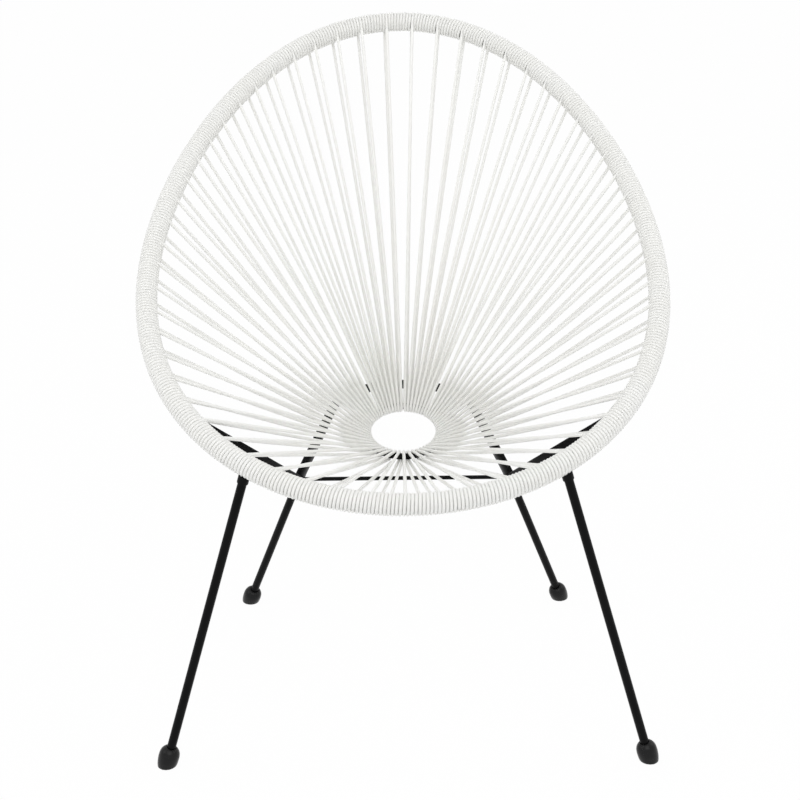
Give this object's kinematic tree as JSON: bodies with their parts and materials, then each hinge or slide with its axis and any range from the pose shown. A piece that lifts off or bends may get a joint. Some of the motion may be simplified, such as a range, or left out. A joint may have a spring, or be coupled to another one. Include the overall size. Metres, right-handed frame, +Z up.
{
  "type": "acapulco chair",
  "caption": "Round wire-seat lounge chair: an egg-shaped hoop wound with off-white cord, cords running to a small ring, on a black tubular base with splayed legs.",
  "frame": {"origin": "on the floor, under the middle of the chair's outline", "axes": "+X to the chair's left-hand side as seen from the front (to the right in the picture), -Y to the front, +Z up"},
  "size_m": [0.741, 0.7804, 0.8873],
  "materials": {
    "cord": "smooth, softly glossy",
    "hoop": "satin",
    "ring": "satin",
    "frame": "satin",
    "feet": "smooth"
  },
  "bodies": {
    "root": {"hoop_tube": "hoop", "cord_front": "cord", "cord_right_1": "cord", "cord_left_1": "cord", "cord_right_2": "cord", "cord_left_2": "cord", "cord_right_3": "cord", "cord_left_3": "cord", "cord_right_4": "cord", "cord_left_4": "cord", "cord_right_5": "cord", "cord_left_5": "cord", "cord_right_6": "cord", "cord_left_6": "cord", "cord_right_7": "cord", "cord_left_7": "cord", "seat_ring": "ring", "base_bow": "frame", "base_arm_right": "frame", "base_arm_left": "frame", "cross_rod": "frame", "socket_front_right": "frame", "socket_front_left": "frame", "leg_front_right": "frame", "leg_front_left": "frame", "foot_front_right": "feet", "foot_front_left": "feet", "socket_rear_right": "frame", "socket_rear_left": "frame", "leg_rear_right": "frame", "leg_rear_left": "frame", "foot_rear_right": "feet", "foot_rear_left": "feet"}
  },
  "joints": []
}
